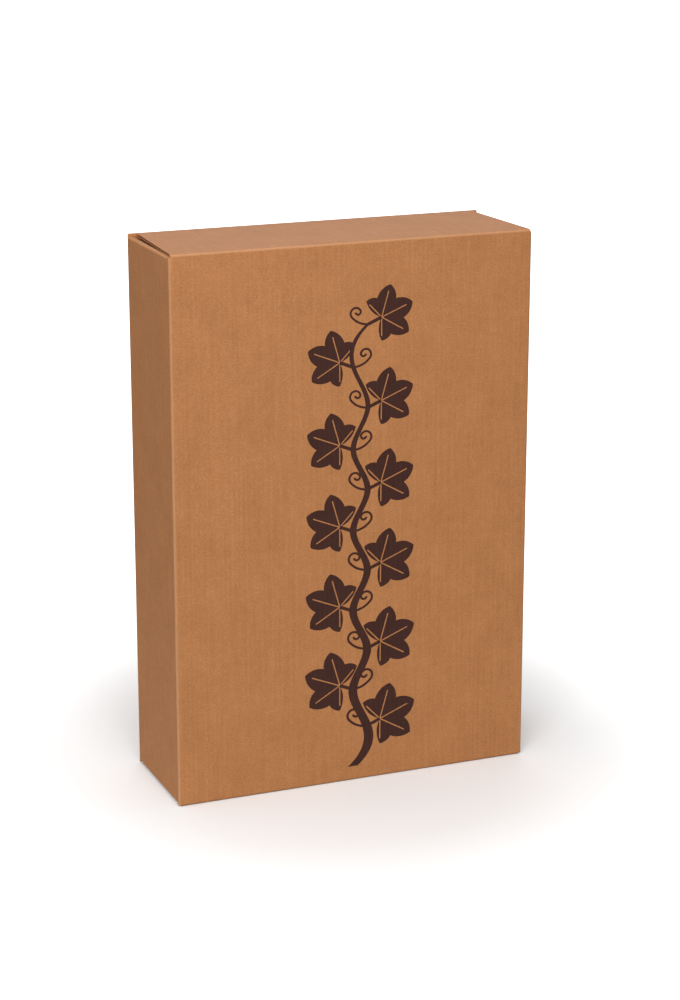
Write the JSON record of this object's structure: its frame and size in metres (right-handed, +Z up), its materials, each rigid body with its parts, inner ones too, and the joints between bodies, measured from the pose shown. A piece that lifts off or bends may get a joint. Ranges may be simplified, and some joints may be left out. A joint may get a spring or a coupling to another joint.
{
  "type": "wine box",
  "caption": "Tall folding carton of brown corrugated board for wine bottles in a row, with a tuck-in lid hinged on the front wall, a locked bottom and a loose bottle divider.",
  "frame": {"origin": "middle of the footprint, on the surface that the box stands on", "axes": "+Z up, +X to the right along the front wall, +Y from the front wall to the back wall"},
  "size_m": [0.245, 0.0841, 0.36],
  "materials": {
    "kraft_board": "uncoated brown kraft liner, matt",
    "brown_ink": "matt dark brown water-based print"
  },
  "bodies": {
    "carton": {"carton": "kraft_board", "bottle_divider": "kraft_board", "front_print": "brown_ink"},
    "lid": {"lid": "kraft_board"}
  },
  "joints": [
    {"name": "lid_hinge", "type": "hinge", "parent": "carton", "child": "lid", "pos_m": [0, -0.042, 0.36], "axis": [1, 0, 0], "range_deg": [0, 175]}
  ]
}
